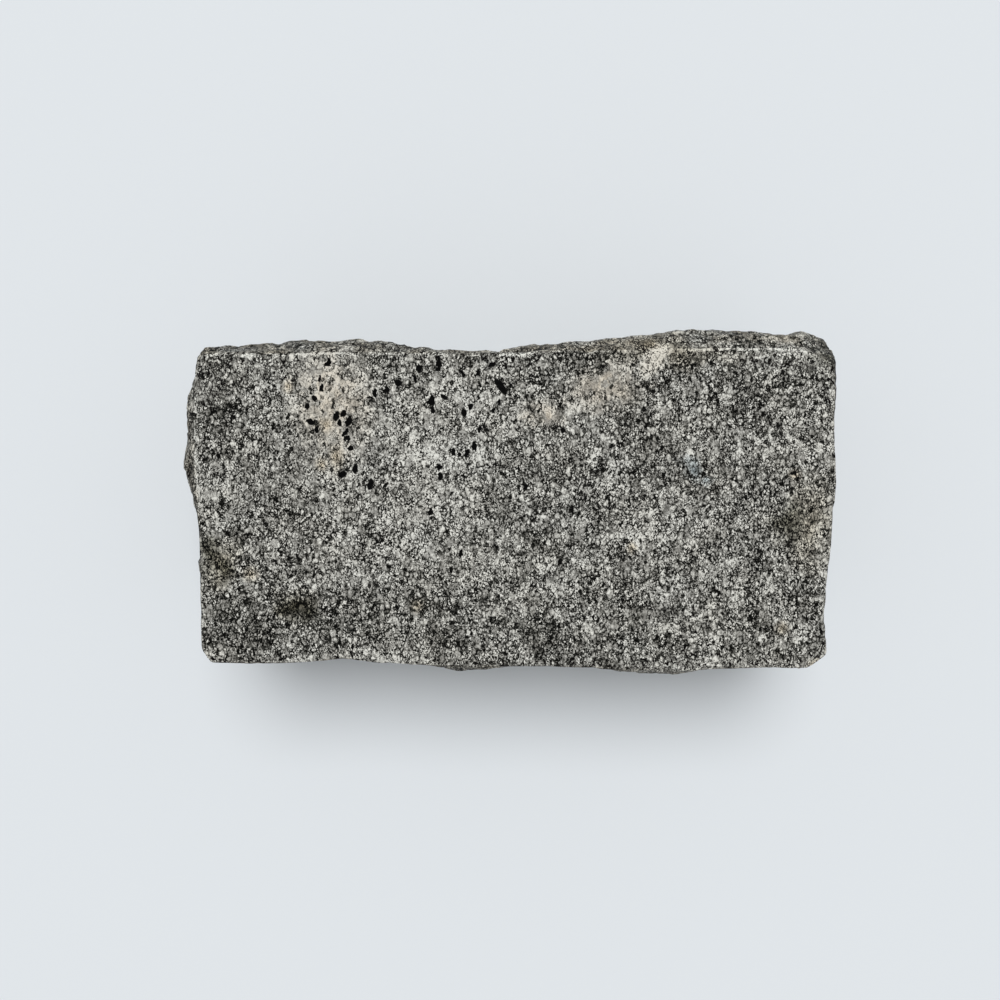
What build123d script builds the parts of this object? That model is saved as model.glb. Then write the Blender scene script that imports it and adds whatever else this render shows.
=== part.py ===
from build123d import *
from collections import namedtuple
from math import copysign, cos, exp, pi, radians, sin, tan
import os

# A granite belgian block: one piece of stone, split to the shape of a long brick and laid
# flat. The head is its flat upper face, the bed the flat face below, and an arris is an edge.
# It is drawn in millimetres about the middle of the head, with its length along X.

# Head, between its arrises
head_length = 253.5
head_width_left = 124
head_width_right = 128.5
block_height = 102

# The head's arrises were pitched to straight lines, and the split faces swell out of them
# over this depth
pitched_depth = 8

# Lean of a split side: its belly stands out of the head's arris by this much, at this depth
# under the head, and at the bed the side is undercut by this much
Lean = namedtuple("Lean", "belly depth undercut")
front_lean = Lean(belly=2.5, depth=45, undercut=3)
back_lean = Lean(belly=4.5, depth=22, undercut=2)
left_lean = Lean(belly=2.5, depth=40, undercut=4)
right_lean = Lean(belly=3.5, depth=48, undercut=3)

# Nicks in the head's arris: the middle's place along the side, the reach each way, and how
# far the arris runs out of its line, inwards where that is negative
Nick = namedtuple("Nick", "along reach out")
front_nicks = [
    Nick(along=-68, reach=14, out=-2.2),
    Nick(along=38, reach=22, out=0.8),
    Nick(along=70, reach=16, out=1),
]
back_nicks = [Nick(along=-15, reach=20, out=-0.6)]
left_nicks = [Nick(along=28, reach=14, out=0.8)]
right_nicks = [
    Nick(along=12, reach=18, out=1.8),
    Nick(along=-42, reach=15, out=-2),
]

# Swells of a split side, or hollows where proud is negative: the middle's place along the
# side and depth under the head, the reach each way along and up, and how far it stands out
Swell = namedtuple("Swell", "along depth reach rise proud")
front_swells = [
    Swell(along=-20, depth=13, reach=15, rise=12, proud=4),
    Swell(along=60, depth=13, reach=15, rise=12, proud=3),
    Swell(along=-90, depth=58, reach=34, rise=26, proud=2.5),
    Swell(along=18, depth=66, reach=40, rise=24, proud=-3),
    Swell(along=98, depth=48, reach=30, rise=30, proud=2.5),
]
back_swells = [
    Swell(along=-75, depth=18, reach=36, rise=24, proud=2),
    Swell(along=-15, depth=16, reach=24, rise=26, proud=-2),
    Swell(along=85, depth=18, reach=46, rise=24, proud=5.5),
    Swell(along=108, depth=12, reach=7, rise=14, proud=-2.5),
    Swell(along=-60, depth=72, reach=38, rise=24, proud=-3.5),
    Swell(along=40, depth=70, reach=34, rise=26, proud=2.5),
]
left_swells = [
    Swell(along=42, depth=13, reach=9, rise=14, proud=4),
    Swell(along=17, depth=14, reach=21, rise=15, proud=6.5),
    Swell(along=-34, depth=56, reach=24, rise=26, proud=2.5),
    Swell(along=30, depth=70, reach=22, rise=22, proud=-3),
]
right_swells = [
    Swell(along=52, depth=14, reach=16, rise=18, proud=2.5),
    Swell(along=12, depth=62, reach=26, rise=24, proud=3),
]

# Spalls, the shallow dished scars of flakes struck off a side: the middle's place along the
# side and depth under the head, the dish's breadth, and how far it sinks under the belly
Spall = namedtuple("Spall", "along depth breadth sink")
front_spalls = [
    Spall(along=-98, depth=84, breadth=56, sink=6),
    Spall(along=-34, depth=96, breadth=60, sink=7),
    Spall(along=34, depth=76, breadth=62, sink=5),
    Spall(along=96, depth=92, breadth=52, sink=7),
    Spall(along=-58, depth=44, breadth=46, sink=4),
    Spall(along=16, depth=36, breadth=40, sink=3.5),
]
back_spalls = [
    Spall(along=-96, depth=90, breadth=54, sink=6),
    Spall(along=-30, depth=80, breadth=60, sink=4),
    Spall(along=24, depth=98, breadth=56, sink=8),
    Spall(along=88, depth=84, breadth=58, sink=6),
    Spall(along=-16, depth=38, breadth=44, sink=4),
]
left_spalls = [
    Spall(along=-36, depth=88, breadth=46, sink=5),
    Spall(along=26, depth=96, breadth=44, sink=6),
    Spall(along=-42, depth=26, breadth=34, sink=3),
]
right_spalls = [
    Spall(along=-38, depth=78, breadth=48, sink=5),
    Spall(along=30, depth=94, breadth=50, sink=4.5),
    Spall(along=-14, depth=34, breadth=40, sink=4),
]

# Broken upright corners: how much of the long side and of the end each one takes at the
# head, and how many degrees its break leans outwards going down
Corner = namedtuple("Corner", "along_x along_y lean")
front_left_corner = Corner(along_x=3.5, along_y=5.5, lean=1)
front_right_corner = Corner(along_x=9, along_y=6, lean=3)
back_right_corner = Corner(along_x=13, along_y=6, lean=28)
back_left_corner = Corner(along_x=3, along_y=2, lean=20)

# The rough piece is this much larger than the head all round before its sides are split,
# and each split face is drawn through rows and columns of points about this far apart
rough_extra = 30
row_spacing = 8.5
column_spacing = 8.5


class SplitSide:
    """A split side of the block, hung from the head's arris between two of its corners."""

    def __init__(self, low, high, outward, lean, nicks, swells, spalls):
        self.middle = (low + high) / 2
        self.direction = (high - low).normalized()
        self.half = (high - low).length / 2
        self.outward = outward
        self.lean = lean
        self.nicks = nicks
        self.swells = swells
        self.spalls = spalls

    def stand_out(self, along, depth):
        """How far the split face stands out of the head's arris at a place on the side."""
        belly, belly_depth, undercut = self.lean
        if depth < belly_depth:
            out = belly * sin(pi / 2 * depth / belly_depth)
        else:
            below = (depth - belly_depth) / (block_height - belly_depth)
            out = (belly + undercut) * cos(pi / 2 * below) - undercut
        for nick in self.nicks:
            aside = (along - nick.along) / nick.reach
            out += nick.out * exp(-aside**2)
        grown = min(1, depth / pitched_depth)
        for swell in self.swells:
            aside = (along - swell.along) / swell.reach
            under = (depth - swell.depth) / swell.rise
            out += grown * swell.proud * exp(-aside**2 - under**2)
        return out

    def place(self, along, depth, proud=0):
        """The point this far along the side and under the head, proud of the split face."""
        out = self.stand_out(along, depth) + proud
        level = Vector(0, 0, block_height - depth)
        return self.middle + self.direction * along + self.outward * out + level

    def split_face(self):
        """The face that the side splits along, from above the head to below the bed."""
        reach = self.half + 2 * rough_extra
        columns = round(reach / column_spacing)
        rows = round(block_height / row_spacing)
        points = [
            [
                self.place(reach * column / columns, block_height * row / rows)
                for column in range(-columns, columns + 1)
            ]
            for row in range(-1, rows + 2)
        ]
        return Face.make_surface_from_array_of_points(points, tol=0.02, min_deg=3)


def dish_radius(breadth, sink):
    """Radius of the ball that leaves a dish of this breadth, sunk this deep in a flat face."""
    return (breadth**2 / 4 + sink**2) / (2 * sink)


front_left = Vector(-head_length / 2, -head_width_left / 2)
front_right = Vector(head_length / 2, -head_width_right / 2)
back_left = Vector(-head_length / 2, head_width_left / 2)
back_right = Vector(head_length / 2, head_width_right / 2)

front = SplitSide(
    front_left, front_right, Vector(0, -1), front_lean, front_nicks, front_swells, front_spalls
)
back = SplitSide(
    back_left, back_right, Vector(0, 1), back_lean, back_nicks, back_swells, back_spalls
)
left = SplitSide(
    front_left, back_left, Vector(-1, 0), left_lean, left_nicks, left_swells, left_spalls
)
right = SplitSide(
    front_right, back_right, Vector(1, 0), right_lean, right_nicks, right_swells, right_spalls
)
sides = [front, back, left, right]
corners = [
    (front_left, front_left_corner),
    (front_right, front_right_corner),
    (back_right, back_right_corner),
    (back_left, back_left_corner),
]

# The stone is split out of the rough piece, side by side, its corners break off along
# leaning planes, and the spalls are struck off its sides
with BuildPart() as split_stone:
    Box(
        head_length + 2 * rough_extra,
        max(head_width_left, head_width_right) + 2 * rough_extra,
        block_height,
        align=(Align.CENTER, Align.CENTER, Align.MIN),
    )
    for side in sides:
        extrude(side.split_face(), amount=3 * rough_extra, dir=side.outward, mode=Mode.SUBTRACT)
    for point, corner in corners:
        outward_x = copysign(1, point.X)
        outward_y = copysign(1, point.Y)
        on_long_side = point + Vector(-outward_x * corner.along_x, 0, block_height)
        on_end = point + Vector(0, -outward_y * corner.along_y, block_height)
        facing = Vector(outward_x * corner.along_y, outward_y * corner.along_x).normalized()
        facing += Vector(0, 0, tan(radians(corner.lean)))
        split(bisect_by=Plane(origin=(on_long_side + on_end) / 2, z_dir=facing), keep=Keep.BOTTOM)
    for side in sides:
        for spall in side.spalls:
            radius = dish_radius(spall.breadth, spall.sink)
            with Locations(side.place(spall.along, spall.depth, radius - spall.sink)):
                Sphere(radius, mode=Mode.SUBTRACT)

# The finished block lies on its bed, with the middle of its outer size over the origin
middle = split_stone.part.bounding_box().center()
with BuildPart() as granite_block:
    with Locations((-middle.X, -middle.Y, 0)):
        add(split_stone.part)

os.makedirs("parts", exist_ok=True)
granite_block.part.label = "granite_block"
export_step(granite_block.part, "parts/granite_block.step")
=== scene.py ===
from collections import namedtuple
from math import cos, pi, radians, sin
from random import Random

import bmesh
import bpy
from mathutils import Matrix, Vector, noise
from mathutils.kdtree import KDTree


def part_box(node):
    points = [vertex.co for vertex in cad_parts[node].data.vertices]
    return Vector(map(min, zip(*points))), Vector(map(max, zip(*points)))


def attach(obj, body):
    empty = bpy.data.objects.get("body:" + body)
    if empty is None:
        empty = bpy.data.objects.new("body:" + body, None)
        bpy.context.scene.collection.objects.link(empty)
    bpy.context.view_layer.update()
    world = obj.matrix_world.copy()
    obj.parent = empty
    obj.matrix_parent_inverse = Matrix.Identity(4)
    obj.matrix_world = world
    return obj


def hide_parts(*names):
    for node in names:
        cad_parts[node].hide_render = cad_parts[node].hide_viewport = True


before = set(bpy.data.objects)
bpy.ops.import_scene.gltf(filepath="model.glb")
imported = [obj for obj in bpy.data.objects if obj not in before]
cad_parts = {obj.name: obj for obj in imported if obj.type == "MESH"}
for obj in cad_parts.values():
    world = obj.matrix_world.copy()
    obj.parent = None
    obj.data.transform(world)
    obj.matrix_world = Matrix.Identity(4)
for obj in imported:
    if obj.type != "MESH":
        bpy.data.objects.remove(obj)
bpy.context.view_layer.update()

# A granite belgian block, seen from above on a pale floor. Lengths are in metres, written
# as millimetres times MM. The head is the block's flat upper face, the bed the flat face
# below, and an arris is an edge.
MM = 0.001
low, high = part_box("granite_block")

# The stone's surface is an even net of points this far apart
point_spacing = 1.35 * MM

# Broken relief of the split sides, and slight wear of the head and bed: each is a mix of
# tilted flats of a size, which stand out or in by about the rise
Flats = namedtuple("Flats", "size rise")
side_flats = [
    Flats(size=19 * MM, rise=1.9 * MM),
    Flats(size=8 * MM, rise=1.1 * MM),
    Flats(size=3.8 * MM, rise=0.6 * MM),
]
worn_flats = [
    Flats(size=12 * MM, rise=0.2 * MM),
    Flats(size=4.5 * MM, rise=0.2 * MM),
]
# The worn faces lie below the CAD ones by this share of the wear's rises
wear_sink = 0.6

# The relief is drawn by chance, which the seed settles. Each flat has a tilt and a step of
# these strengths, drawn at its middle times a stretch, so that neighbours differ, and it
# blends into its neighbour over this share of its size
relief_seed = 8
flat_tilt = 1.6
flat_step = 0.7
tilt_stretch = 7.31
step_stretch = 5.17
flat_blend = 0.22

# The relief of a side grows from this share at the head's arris to its whole below
arris_share = 0.2
arris_depth = 9 * MM

# The upright part of a point's normal tells the sides from the head and bed. Between the two
# values of each pair, broken relief gives way to wear, and hewn skin to the head's worn skin
side_to_level = (0.5, 0.9)
hewn_to_worn = (0.5, 0.8)

# Chips knocked off the arrises, each the bite of a ball, and how pale the knock bruises the
# stone. A point is on an arris if no part of its normal reaches the limit
chip_seed = 3
chip_count = 130
chip_radius = (2.5 * MM, 9 * MM)
chip_bite = (0.3 * MM, 1.1 * MM)
chip_bruise = (0.05, 0.25)
arris_normal_limit = 0.85

# Spots on the head: the middle's place along X and Y from the middle of the block, the
# breadth along X and along Y, in millimetres, and the turn in degrees
Spot = namedtuple("Spot", "x y breadth height turn", defaults=[0])

# Black mica flakes and the pits that they have left; the pits' darkness is painted shade
flake_and_pit_shades = [
    Spot(-71, 35, 2.6, 4.3, -20), Spot(-68, 36.5, 2.2, 3.6, -15), Spot(-66, 33, 2.6, 4.3, -20),
    Spot(-69.5, 32.5, 2.2, 2.6), Spot(-67, 29.5, 2, 2.9, -30), Spot(-68, 28, 2, 2.9, -30),
    Spot(-66.5, 26.5, 2.9, 2), Spot(-65.5, 22.5, 2.2, 2.9), Spot(-76.5, 46.5, 1.8, 3.6),
    Spot(-79.5, 42.5, 1.7, 2.4), Spot(-82.5, 39, 2.4, 2.6), Spot(-81, 33, 3.6, 2.4, -20),
    Spot(-79, 30, 2.6, 4), Spot(-74, 56.5, 2.2, 4.3, -20), Spot(-77.5, 50, 1.4, 2.9),
    Spot(-69, 12, 4.3, 2.9, 20), Spot(-63.5, 14.5, 2.2, 4.3), Spot(-57.5, 8, 2.2, 5.3, -10),
    Spot(-55.5, 44.5, 1.6, 4.1), Spot(-30, 56, 2, 7.2), Spot(-46, 48.5, 2.6, 3.6),
    Spot(-20.5, 52, 2, 3.6), Spot(-14.5, 52.5, 1.8, 3.1), Spot(-9, 55.5, 3.6, 2.4, 20),
    Spot(-5.5, 47, 3.1, 8.4, 35), Spot(-6, 40.5, 1.8, 3.2), Spot(-33, 41.5, 2.9, 4.8),
    Spot(-32.5, 37.5, 1.7, 3.2), Spot(-28, 43, 3.6, 2.4, -20), Spot(-20, 36.5, 2.4, 2.9, 20),
    Spot(-17.5, 39, 2, 3), Spot(-8.5, 37.5, 2.4, 2.4), Spot(-38, 54, 1.8, 3.8),
    Spot(-39.5, 50, 1.7, 3.4), Spot(-50.5, 46, 1.8, 3.8, 20), Spot(-14, 30, 1.7, 2.6),
    Spot(-16, 23.5, 2, 4, -10), Spot(-19, 20.5, 2.3, 4, -20), Spot(-24.5, 21, 2, 3.1),
    Spot(-22, 20, 2.3, 2), Spot(-30, 15, 2.9, 2.9), Spot(-29.5, 11.5, 2.9, 3.6, 15),
    Spot(-33.5, -3, 1.9, 3.1), Spot(19.5, 29.5, 2.6, 2.9), Spot(4.5, 7, 2.2, 2.9),
    Spot(-21.5, -19.5, 2, 3.4),
]
# Pale and buff feldspar, the nearly white feldspar of a fresh break, and large white grains
pale_zones = [
    Spot(-32, 16, 60, 84, -8), Spot(-28, 46, 30, 30), Spot(-74, 12, 60, 54),
    Spot(56, -14, 44, 54), Spot(-12, -25, 34, 30),
]
buff_zones = [Spot(-73, 39, 40, 60), Spot(36, 46, 46, 24, 12), Spot(12, 36, 24, 16)]
fresh_breaks = [Spot(55, 57, 11, 22, -42)]
white_grains = [
    Spot(-88.5, 19, 4, 3.2, 20), Spot(79, -41.5, 3.6, 3.6, 40), Spot(81, -57.5, 4, 3, -10),
    Spot(100, -54, 3.4, 5, -40), Spot(69, 19, 3.4, 2.6), Spot(110, 46, 3, 2.4),
]
# Darker zones, partly darker stone and partly painted shade on the left side's bulge, small damp places,
# bluish quartz, brown shading and rusty grains
darker_and_shaded_zones = [
    Spot(-100, -48, 80, 44), Spot(10, -52, 70, 26), Spot(114, -36, 44, 60), Spot(90, 36, 44, 24),
    Spot(124, 66, 30, 30), Spot(126, 68, 28, 26), Spot(-132, 14, 20, 90), Spot(-118, 34, 34, 60),
    Spot(-111, -2, 34, 30),
]
damp_places = [
    Spot(-122, -20, 15, 20), Spot(-116, -27, 13, 13), Spot(-89, -41, 17, 15),
    Spot(109, -7, 16, 22), Spot(-83, -44, 14, 10), Spot(125, 60, 16, 16),
]
blue_grains = [Spot(70, 15, 16, 12, -30), Spot(77, 10.5, 9, 8)]
brown_zones = [
    Spot(118, -6, 24, 50), Spot(-88, -41, 20, 18), Spot(60, 60, 70, 14), Spot(-118, -24, 20, 24),
]
rusty_grains = [
    Spot(-39, -41, 8, 8), Spot(47, -17.5, 6, 7), Spot(-106, -28, 10, 9), Spot(108, -50, 8, 8),
    Spot(122, -65, 9, 7), Spot(112, 12, 7, 6), Spot(-75, 32, 8, 8), Spot(-71, 19, 8, 14),
    Spot(-77, 16, 7, 8), Spot(-90, 47, 6, 8),
]
# Runs of the head's arris that are rubbed to a crisp pale line
rubbed_arrises = [Spot(86, 62, 54, 16), Spot(-70, 60, 16, 8), Spot(-127, 17, 10, 36)]

# Sizes in the granite: specks, the small, larger and glassy quartz grains, the curls of their
# outlines, and the patches in which their seams fade and their tone changes
speck_size = 0.44 * MM
small_grain_size = 1.1 * MM
large_grain_size = 2.1 * MM
quartz_size = 3.4 * MM
curl_size = 1.6 * MM
faded_size = 3.5 * MM
mottle_size = 7 * MM
cloud_size = 32 * MM
# Sizes on it: patches of brown film, the roughness of the hewn skin, the breaks in the pale
# line of the arris, and the wandering of the zones' edges
film_size = 14 * MM
rough_size = 2.4 * MM
line_size = 10 * MM
wander_size = 9 * MM

# Where each side of the block lies in its texture map: the way the side faces, the directions
# that run across and up its part of the map, and that part's place and size
Part = namedtuple("Part", "facing across up left bottom width height")
map_margin = 0.006
map_parts = [
    Part(Vector((0, 0, 1)), Vector((1, 0, 0)), Vector((0, 1, 0)), 0, 0.53, 1, 0.47),
    Part(Vector((0, -1, 0)), Vector((1, 0, 0)), Vector((0, 0, 1)), 0, 0.28, 0.5, 0.25),
    Part(Vector((0, 1, 0)), Vector((-1, 0, 0)), Vector((0, 0, 1)), 0.5, 0.28, 0.5, 0.25),
    Part(Vector((0, 0, -1)), Vector((-1, 0, 0)), Vector((0, 1, 0)), 0, 0, 0.5, 0.28),
    Part(Vector((-1, 0, 0)), Vector((0, 0, 1)), Vector((0, 1, 0)), 0.5, 0, 0.25, 0.28),
    Part(Vector((1, 0, 0)), Vector((0, 0, -1)), Vector((0, 1, 0)), 0.75, 0, 0.25, 0.28),
]


def linear(hex_colour):
    """An sRGB hex colour as linear red, green, blue and alpha."""
    parts = [int(hex_colour[place:place + 2], 16) / 255 for place in (0, 2, 4)]
    return [part / 12.92 if part <= 0.04045 else ((part + 0.055) / 1.055) ** 2.4 for part in parts] + [1]


def rise(start, end, value):
    """0 up to start and 1 from end on, with a soft rise between."""
    share = min(max((value - start) / (end - start), 0), 1)
    return share * share * (3 - 2 * share)


def relief(place, flats):
    """Height at a place of a broken face, made of tilted flats of several sizes."""
    total = 0
    for size, height in flats:
        at = place / size
        distances, middles = noise.voronoi(at)
        tilts = [noise.noise_vector(tilt_stretch * middle).dot(at - middle) for middle in middles[:2]]
        steps = [noise.noise(step_stretch * middle) for middle in middles[:2]]
        own, neighbour = [flat_tilt * tilt + flat_step * step for tilt, step in zip(tilts, steps)]
        share = 0.5 + 0.5 * rise(0, flat_blend, distances[1] - distances[0])
        total += height * (share * own + (1 - share) * neighbour)
    return total


def even_stone(node):
    """The block as an even net of points, which the relief needs, in a new piece."""
    shape = bmesh.new()
    shape.from_mesh(node.data)
    bmesh.ops.remove_doubles(shape, verts=shape.verts, dist=0.001 * MM)
    mesh = bpy.data.meshes.new("split_stone")
    shape.to_mesh(mesh)
    shape.free()
    piece = bpy.data.objects.new("split_stone", mesh)
    bpy.context.scene.collection.objects.link(piece)
    remesh = piece.modifiers.new("even", "REMESH")
    remesh.mode = "VOXEL"
    remesh.voxel_size = point_spacing
    remeshed = piece.evaluated_get(bpy.context.evaluated_depsgraph_get())
    piece.data = bpy.data.meshes.new_from_object(remeshed)
    piece.modifiers.clear()
    piece.data.materials.clear()
    return piece


def lay_out_map(shape):
    """Lays every side of the still smooth block flat in its part of the texture map."""
    corners = [
        Vector((x, y, z)) for x in (low.x, high.x) for y in (low.y, high.y) for z in (low.z, high.z)
    ]
    layer = shape.loops.layers.uv.new("OFBake")
    for face in shape.faces:
        part = max(map_parts, key=lambda part: part.facing.dot(face.normal))
        across = [corner.dot(part.across) for corner in corners]
        up = [corner.dot(part.up) for corner in corners]
        for loop in face.loops:
            place = loop.vert.co
            share_across = (place.dot(part.across) - min(across)) / (max(across) - min(across))
            share_up = (place.dot(part.up) - min(up)) / (max(up) - min(up))
            loop[layer].uv = (
                part.left + map_margin + share_across * (part.width - 2 * map_margin),
                part.bottom + map_margin + share_up * (part.height - 2 * map_margin),
            )


def break_sides(shape):
    """Gives the sides their broken relief, and the head and bed their slight wear."""
    hewn = shape.verts.layers.float.new("hewn")
    proud = shape.verts.layers.float.new("proud")
    moves = []
    for point in shape.verts:
        level = rise(*side_to_level, abs(point.normal.z))
        grown = arris_share + (1 - arris_share) * rise(0, arris_depth, high.z - point.co.z)
        broken = grown * relief(point.co, side_flats)
        worn = relief(point.co, worn_flats) - wear_sink * sum(flats.rise for flats in worn_flats)
        moves.append(point.normal * (broken * (1 - level) + worn * level))
        point[hewn] = 1 - rise(*hewn_to_worn, point.normal.z)
        # Painted shade: the raised parts of the broken relief are later painted lighter and its hollows
        # darker
        point[proud] = broken * (1 - level) / side_flats[0].rise
    for point, move in zip(shape.verts, moves):
        point.co += move


def chip_arrises(shape):
    """Knocks chips off the arrises, and marks the stone bruised by each knock."""
    bruised = shape.verts.layers.float.new("bruised")
    tree = KDTree(len(shape.verts))
    for number, point in enumerate(shape.verts):
        tree.insert(point.co, number)
    tree.balance()
    shape.verts.ensure_lookup_table()
    arris = [point for point in shape.verts if max(abs(part) for part in point.normal) < arris_normal_limit]
    choice = Random(chip_seed)
    for _ in range(chip_count):
        knocked = choice.choice(arris)
        radius = choice.uniform(*chip_radius)
        bite = choice.uniform(*chip_bite)
        middle = knocked.co + knocked.normal * (radius - bite)
        for _, number, _ in tree.find_range(middle, radius):
            point = shape.verts[number]
            away = point.co - middle
            if away.length < radius:
                point.co = middle + away.normalized() * radius
                point[bruised] = max(point[bruised], choice.uniform(*chip_bruise))


def keep_in_box(shape):
    """Keeps the broken stone in the box of the CAD block."""
    for point in shape.verts:
        for axis in range(3):
            point.co[axis] = min(max(point.co[axis], low[axis]), high[axis])


def mark_ridges(shape):
    """Marks how far each point stands proud of the stone round it, for pale wear on ridges and painted
    shade in hollows, and how level it lies.
    """
    ridge_wear_and_shade = shape.verts.layers.float.new("ridge_wear_and_shade")
    level = shape.verts.layers.float.new("level")
    shape.normal_update()
    for point in shape.verts:
        around = [(edge.other_vert(point).co - point.co).normalized() for edge in point.link_edges]
        point[ridge_wear_and_shade] = -sum(way.dot(point.normal) for way in around) / len(around)
        point[level] = point.normal.z


def split_stone():
    """The block with its split sides, chipped arrises and worn head."""
    noise.seed_set(relief_seed)
    piece = even_stone(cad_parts["granite_block"])
    shape = bmesh.new()
    shape.from_mesh(piece.data)
    shape.normal_update()
    lay_out_map(shape)
    break_sides(shape)
    shape.normal_update()
    chip_arrises(shape)
    keep_in_box(shape)
    mark_ridges(shape)
    for face in shape.faces:
        face.smooth = True
    shape.to_mesh(piece.data)
    shape.free()
    return piece


def add_node(tree, kind, inputs=(), stops=(), **settings):
    """Adds a node with its settings, inputs and even colour stops; returns its outputs."""
    node = tree.nodes.new("ShaderNode" + kind)
    for name, value in settings.items():
        setattr(node, name, value)
    for name, value in dict(inputs).items():
        if isinstance(value, bpy.types.NodeSocket):
            tree.links.new(value, node.inputs[name])
        else:
            node.inputs[name].default_value = value
    for number, colour in enumerate(stops):
        elements = node.color_ramp.elements
        if 0 < number < len(stops) - 1:
            elements.new(number / (len(stops) - 1))
        elements[number if number < len(stops) - 1 else -1].color = linear(colour)
    return node.outputs


def weighed(tree, parts):
    """The sum of several values, each times its weight."""
    total = 0
    for source, weight in parts:
        total = add_node(tree, "Math", {0: source, 1: weight, 2: total}, operation="MULTIPLY_ADD")[0]
    return total


def swayed(tree, place, noise_colour, reach):
    """A place moved to and fro by a noise, whose colours are 0.5 on average."""
    sway = add_node(tree, "VectorMath", {0: noise_colour, 1: (0.5,) * 3}, operation="SUBTRACT")[0]
    return add_node(
        tree, "VectorMath", {0: sway, 1: (reach,) * 3, 2: place}, operation="MULTIPLY_ADD"
    )[0]


def spotted(tree, place, spots, depth):
    """How deep in one of the head's spots a place is: 0 outside, and 1 at a spot's middle."""
    deepest = 0
    for spot in spots:
        around = add_node(
            tree,
            "Mapping",
            {
                "Vector": place,
                "Location": (spot.x * MM, spot.y * MM, high.z),
                "Rotation": (0, 0, radians(spot.turn)),
                "Scale": (spot.breadth / 2 * MM, spot.height / 2 * MM, depth),
            },
            vector_type="TEXTURE",
        )
        share = add_node(tree, "TexGradient", {"Vector": around[0]}, gradient_type="SPHERICAL")
        deepest = add_node(tree, "Math", {0: share["Fac"], 1: deepest}, operation="MAXIMUM")[0]
    return deepest


# Grains of one size: three draws of chance for each grain, how far a place is from the middle
# of its grain, and the dark seam round it
Grains = namedtuple("Grains", "draws from_middle seam")


def grains(tree, place, size, seam_start, seam_dark):
    """Grains of a size, whose seams start and are darkest at these shares of it from the edge."""
    grain = add_node(tree, "TexVoronoi", {"Vector": place, "Scale": 1 / size})
    draws = add_node(tree, "SeparateColor", {"Color": grain["Color"]})
    edge = add_node(
        tree, "TexVoronoi", {"Vector": place, "Scale": 1 / size}, feature="DISTANCE_TO_EDGE"
    )
    seam = add_node(
        tree, "MapRange", {"Value": edge["Distance"], "From Min": seam_start, "From Max": seam_dark}
    )
    return Grains(draws, grain["Distance"], seam[0])


def head_marks(tree, place, curl):
    """How strongly each kind of spot shows at a place: 0 outside and 1 in its middle."""
    wander = add_node(tree, "TexNoise", {"Vector": place, "Scale": 1 / wander_size, "Detail": 3})["Color"]
    wandering = swayed(tree, place, wander, reach=13 * MM)
    ragged = swayed(tree, place, curl, reach=1.1 * MM)
    torn = swayed(tree, place, curl, reach=2.6 * MM)
    marks = {}
    for name, moved, spots, depth in [
        ("pale", wandering, pale_zones, 30 * MM),
        ("buff", wandering, buff_zones, 20 * MM),
        ("darker_and_shaded", wandering, darker_and_shaded_zones, 30 * MM),
        ("damp", wandering, damp_places, 14 * MM),
        ("blue", wandering, blue_grains, 10 * MM),
        ("brown", wandering, brown_zones, 14 * MM),
        ("rusty", ragged, rusty_grains, 10 * MM),
        ("fresh", torn, fresh_breaks, 14 * MM),
        ("white", torn, white_grains, 4 * MM),
        ("flake_and_pit_shade", torn, flake_and_pit_shades, 2 * MM),
    ]:
        marks[name] = spotted(tree, moved, spots, depth)

    # These are crisp, and show in full from a share of the way to their middles on
    for name, share in [("fresh", 0.5), ("white", 0.3), ("flake_and_pit_shade", 0.12)]:
        marks[name] = add_node(tree, "MapRange", {"Value": marks[name], "From Max": share})[0]

    # A fresh break is neither buff nor brown
    for name in ("buff", "brown"):
        marks[name] = add_node(
            tree, "Math", {0: marks[name], 1: marks["fresh"]}, operation="SUBTRACT", use_clamp=True
        )[0]
    return marks


def arris_line(tree, place):
    """The fine pale line of the arris, where the level head breaks off to a side."""
    # It runs where the stone tilts by about 30 degrees, or lies 0.7 mm below the head's plane
    upright = add_node(tree, "Attribute", attribute_name="level")["Fac"]
    turning = add_node(tree, "Math", {0: upright, 1: 0.87, 2: 0.045}, operation="COMPARE")[0]
    above_bed = add_node(tree, "SeparateXYZ", {"Vector": place})["Z"]
    brink = add_node(
        tree, "Math", {0: above_bed, 1: high.z - 0.7 * MM, 2: 0.2 * MM}, operation="COMPARE"
    )[0]
    line = add_node(tree, "Math", {0: turning, 1: brink}, operation="MAXIMUM")[0]

    # The line is whole along the rubbed runs, and fainter and broken elsewhere
    rubbed = spotted(tree, place, rubbed_arrises, 14 * MM)
    runs = add_node(tree, "TexNoise", {"Vector": place, "Scale": 1 / line_size, "Detail": 1})["Fac"]
    runs = add_node(
        tree, "MapRange", {"Value": runs, "From Min": 0.4, "From Max": 0.65, "To Max": 0.6}
    )[0]
    rubbed = add_node(
        tree, "Math", {0: rubbed, 1: 3, 2: runs}, operation="MULTIPLY_ADD", use_clamp=True
    )[0]
    return add_node(tree, "Math", {0: line, 1: rubbed}, operation="MULTIPLY")[0]


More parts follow.
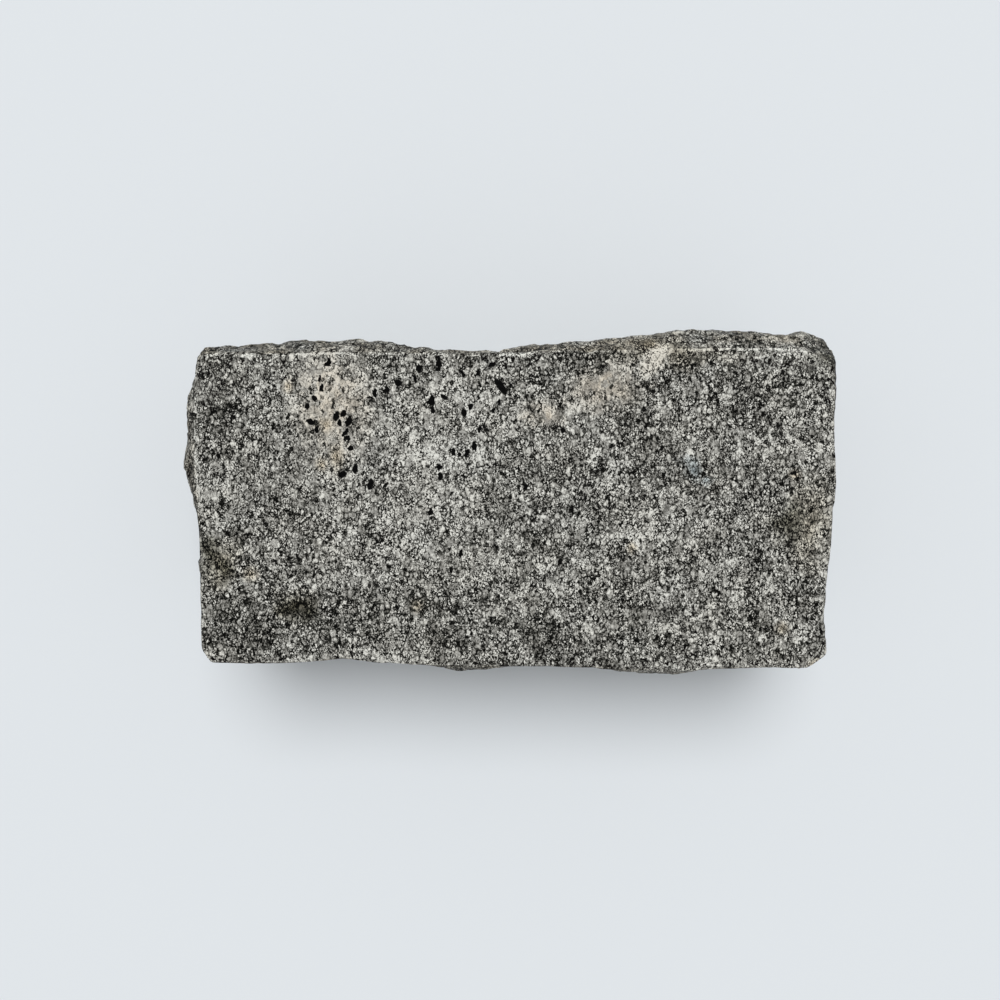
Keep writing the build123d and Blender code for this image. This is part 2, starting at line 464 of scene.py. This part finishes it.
def stone_tone(tree, place, drawn, curled, small, large, speck, marks):
    """The tone of the stone, 0 black and 1 white."""
    # Some of the larger grains are crumbly, with strong specks and fine seams, and others are
    # sound, as buff feldspar is throughout
    crumbly = add_node(
        tree, "MapRange", {"Value": large.draws["Green"], "To Min": 0.25, "To Max": 1.75}
    )[0]
    sound = add_node(tree, "Math", {0: marks["buff"], 1: -0.75, 2: 1}, operation="MULTIPLY_ADD")[0]
    crumbly = add_node(tree, "Math", {0: crumbly, 1: sound}, operation="MULTIPLY")[0]
    crumbs = add_node(tree, "Math", {0: speck, 1: crumbly}, operation="MULTIPLY")[0]
    fine_seam = add_node(tree, "Math", {0: small.seam, 1: crumbly}, operation="MULTIPLY")[0]

    # The seams of the larger grains fade in places, and most of all where feldspar is thick
    seen = add_node(tree, "TexNoise", {"Vector": drawn, "Scale": 1 / faded_size, "Detail": 1})["Fac"]
    seen = add_node(
        tree, "MapRange", {"Value": seen, "From Min": 0.35, "From Max": 0.65, "To Min": 0.15}
    )[0]
    for name, share in [("pale", -0.3), ("buff", -0.6), ("fresh", -0.15), ("arris", -0.8), ("white", -1)]:
        seen = add_node(
            tree, "Math", {0: marks[name], 1: share, 2: seen}, operation="MULTIPLY_ADD", use_clamp=True
        )[0]
    coarse_seam = add_node(tree, "Math", {0: large.seam, 1: seen}, operation="MULTIPLY")[0]

    # Of the small grains about one in eleven is mica, and one in thirty is lightened as a painted glint
    mica = add_node(
        tree, "MapRange", {"Value": small.draws["Green"], "From Min": 0.1, "From Max": 0.08}
    )[0]
    painted_glint = add_node(
        tree, "MapRange", {"Value": small.draws["Blue"], "From Min": 0.96, "From Max": 0.98}
    )[0]

    # The tone is mottled over a few grains and clouded over many
    mottle = add_node(tree, "TexNoise", {"Vector": drawn, "Scale": 1 / mottle_size, "Detail": 2})["Fac"]
    cloud = add_node(tree, "TexNoise", {"Vector": place, "Scale": 1 / cloud_size, "Detail": 1})["Fac"]
    tone = weighed(tree, [
        (small.draws["Red"], 0.29),
        (large.draws["Red"], 0.32),
        (small.from_middle, -0.2),
        (fine_seam, -0.45),
        (coarse_seam, -0.6),
        (mica, -0.5),
        (crumbs, 2.4),
        (mottle, 0.74),
        (cloud, 0.45),
        (marks["pale"], 0.15),
        (marks["buff"], 0.13),
        (marks["fresh"], 0.56),
        (marks["rusty"], 0.05),
        (marks["white"], 0.2),
        # Darker zones: darker stone, and painted shade on the left side's bulge
        (marks["darker_and_shaded"], -0.11),
        (marks["damp"], -0.03),
        (marks["hewn"], -0.05),
        # Painted shade on the relief: its raised parts lighter, its hollows darker
        (marks["proud"], 0.15),
        # Sharp ridges paler with wear, and hollows darker as painted shade
        (marks["ridge_wear_and_shade"], 0.35),
        (marks["arris"], 0.3),
        (marks["bruised"], 0.22),
        # Painted glints: a few small grains lightened
        (painted_glint, 0.3),
    ])

    # About a quarter of the largest grains are glassy quartz, nearer to an even grey
    even_grey = 0.42
    quartz = add_node(tree, "TexVoronoi", {"Vector": curled, "Scale": 1 / quartz_size})["Color"]
    quartz = add_node(tree, "SeparateColor", {"Color": quartz})["Red"]
    quartz = add_node(
        tree, "MapRange", {"Value": quartz, "From Min": 0.26, "From Max": 0.22, "To Max": 0.3}
    )[0]
    return add_node(tree, "Mix", {0: quartz, 2: tone, 3: even_grey})[0]


def stone_colour(tree, place, tone, large, marks):
    """The colour of the stone for its tone, tinted by its minerals and its weathering."""
    # Black mica, dark and light quartz, and feldspar
    stone = add_node(
        tree,
        "ValToRGB",
        {"Fac": tone},
        stops=["050504", "1C1C19", "3A3A36", "5C5C57", "7E7D78", "9C9B96", "B2B2AC", "C9C9C2", "E4E4DD"],
    )["Color"]

    # Some grains of the buff zones are more buff than others, and a brown film lies in patches,
    # mostly on the hewn sides
    uneven = add_node(tree, "MapRange", {"Value": large.draws["Red"], "To Min": 0.3})[0]
    buff = add_node(tree, "Math", {0: uneven, 1: marks["buff"]}, operation="MULTIPLY")[0]
    film = add_node(tree, "TexNoise", {"Vector": place, "Scale": 1 / film_size, "Detail": 3})["Fac"]
    film = add_node(tree, "MapRange", {"Value": film, "From Min": 0.35, "From Max": 0.7})[0]
    open_to_film = add_node(tree, "MapRange", {"Value": marks["hewn"], "To Min": 0.15})[0]
    film = add_node(tree, "Math", {0: film, 1: open_to_film}, operation="MULTIPLY")[0]
    for share, strength, tint in [
        (buff, 1.3, "F5ECE2"),
        (marks["blue"], 1, "CAD9E5"),
        (film, 0.8, "E6D9C4"),
        (marks["brown"], 0.8, "ECE3D2"),
        (marks["damp"], 1.25, "A7A79E"),
        (marks["rusty"], 0.8, "EBDCC4"),
        (marks["fresh"], 1, "FCF8F3"),
    ]:
        share = add_node(tree, "Math", {0: share, 1: strength}, operation="MULTIPLY", use_clamp=True)[0]
        stone = add_node(
            tree,
            "Mix",
            {0: share, 6: stone, 7: linear(tint)},
            data_type="RGBA",
            blend_type="MULTIPLY",
        )[2]

    # Flakes of black mica, some of them weathered out to pits, whose black is painted shade
    return add_node(
        tree, "Mix", {0: marks["flake_and_pit_shade"], 6: stone, 7: linear("060606")}, data_type="RGBA"
    )[2]


def granite():
    """Split granite: dull white feldspar, glassy grey quartz and black mica, weathered brown."""
    material = bpy.data.materials.new("split_granite")
    material.use_nodes = True
    tree = material.node_tree
    shader = tree.nodes["Principled BSDF"]
    place = add_node(tree, "TexCoord")["Object"]

    # The grain is drawn out a little along the block's width and height, and curls
    drawn = add_node(tree, "Mapping", {"Vector": place, "Scale": (1.05, 0.8, 0.75)})[0]
    curl = add_node(tree, "TexNoise", {"Vector": drawn, "Scale": 1 / curl_size, "Detail": 2})["Color"]
    curled = swayed(tree, drawn, curl, reach=1.5 * MM)
    small = grains(tree, curled, small_grain_size, seam_start=0.15, seam_dark=0)
    large = grains(tree, curled, large_grain_size, seam_start=0.22, seam_dark=0.02)

    # Specks darken the stone more than they lighten it
    speck = add_node(tree, "TexNoise", {"Vector": drawn, "Scale": 1 / speck_size, "Detail": 0})["Fac"]
    speck = add_node(
        tree, "MapRange", {"Value": speck, "From Max": 0.57, "To Min": -0.5, "To Max": 0.07}
    )[0]

    # What else marks a place: the spots on the head, the arris, how the stone was broken, and the painted
    # shade of its relief
    marks = head_marks(tree, place, curl)
    marks["arris"] = arris_line(tree, place)
    for name in ("hewn", "proud", "ridge_wear_and_shade", "bruised"):
        marks[name] = add_node(tree, "Attribute", attribute_name=name)["Fac"]
    tone = stone_tone(tree, place, drawn, curled, small, large, speck, marks)
    tree.links.new(stone_colour(tree, place, tone, large, marks), shader.inputs["Base Color"])

    # Feldspar is duller than the glassy quartz and the mica
    gloss = add_node(
        tree, "MapRange", {"Value": tone, "From Min": 0.1, "From Max": 0.9, "To Min": 0.5, "To Max": 0.8}
    )[0]
    tree.links.new(gloss, shader.inputs["Roughness"])
    shader.inputs["Specular IOR Level"].default_value = 0.04

    # The grains stand proud of their seams, light ones most, and the hewn sides are rougher
    rough = add_node(tree, "TexNoise", {"Vector": place, "Scale": 1 / rough_size, "Detail": 2})["Fac"]
    rough = add_node(tree, "Math", {0: rough, 1: marks["hewn"]}, operation="MULTIPLY")[0]
    height = weighed(tree, [
        (small.draws["Red"], 0.29),
        (large.draws["Red"], 0.32),
        (large.seam, -0.5),
        (speck, 2.4),
        (rough, 4),
    ])
    bump = add_node(tree, "Bump", {"Height": height, "Strength": 0.6, "Distance": 0.25 * MM})[0]
    tree.links.new(bump, shader.inputs["Normal"])
    return material


def floor():
    """Plain pale floor, 8 m square."""
    shape = bmesh.new()
    bmesh.ops.create_grid(shape, x_segments=1, y_segments=1, size=4)
    mesh = bpy.data.meshes.new("floor")
    shape.to_mesh(mesh)
    shape.free()
    piece = bpy.data.objects.new("floor", mesh)
    bpy.context.scene.collection.objects.link(piece)
    material = bpy.data.materials.new("pale_floor")
    material.use_nodes = True
    shader = material.node_tree.nodes["Principled BSDF"]
    shader.inputs["Base Color"].default_value = linear("E1E6EA")
    shader.inputs["Roughness"].default_value = 0.8
    mesh.materials.append(material)


def lights():
    """A broad soft light from behind and high above, and an even pale room."""
    window_share = 0.64
    window_height = radians(68)
    window_distance = 3
    world = bpy.data.worlds.new("room")
    bpy.context.scene.world = world
    world.use_nodes = True
    tree = world.node_tree
    seen = add_node(tree, "LightPath")["Is Camera Ray"]
    glow = add_node(
        tree, "Mix", {0: seen, 6: linear("FFFFFF"), 7: linear("E0E5E9")}, data_type="RGBA"
    )[2]
    strength = add_node(tree, "MapRange", {"Value": seen, "To Min": 1 - window_share, "To Max": 1})[0]
    tree.links.new(glow, tree.nodes["Background"].inputs["Color"])
    tree.links.new(strength, tree.nodes["Background"].inputs["Strength"])
    lamp = bpy.data.lights.new("soft_window", "SUN")
    lamp.angle = radians(34)
    lamp.energy = window_share * pi / sin(window_height)
    holder = bpy.data.objects.new("soft_window", lamp)
    holder.location = (0, window_distance * cos(window_height), window_distance * sin(window_height))
    holder.rotation_euler = (window_height - pi / 2, 0, 0)
    bpy.context.scene.collection.objects.link(holder)


def camera():
    """Looks down on the head from just behind its middle, as the photograph does."""
    eye = bpy.data.cameras.new("camera")
    eye.sensor_width = 36
    eye.lens = 36.1
    holder = bpy.data.objects.new("camera", eye)
    holder.location = (-5.75 * MM, 28.4 * MM, 502.1 * MM)
    holder.rotation_euler = (radians(-3.8), 0, 0)
    bpy.context.scene.collection.objects.link(holder)
    bpy.context.scene.camera = holder


camera()
stone = split_stone()
stone.data.materials.append(granite())
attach(stone, "root")
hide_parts("granite_block")
floor()
lights()
bpy.context.scene.view_settings.view_transform = "Standard"
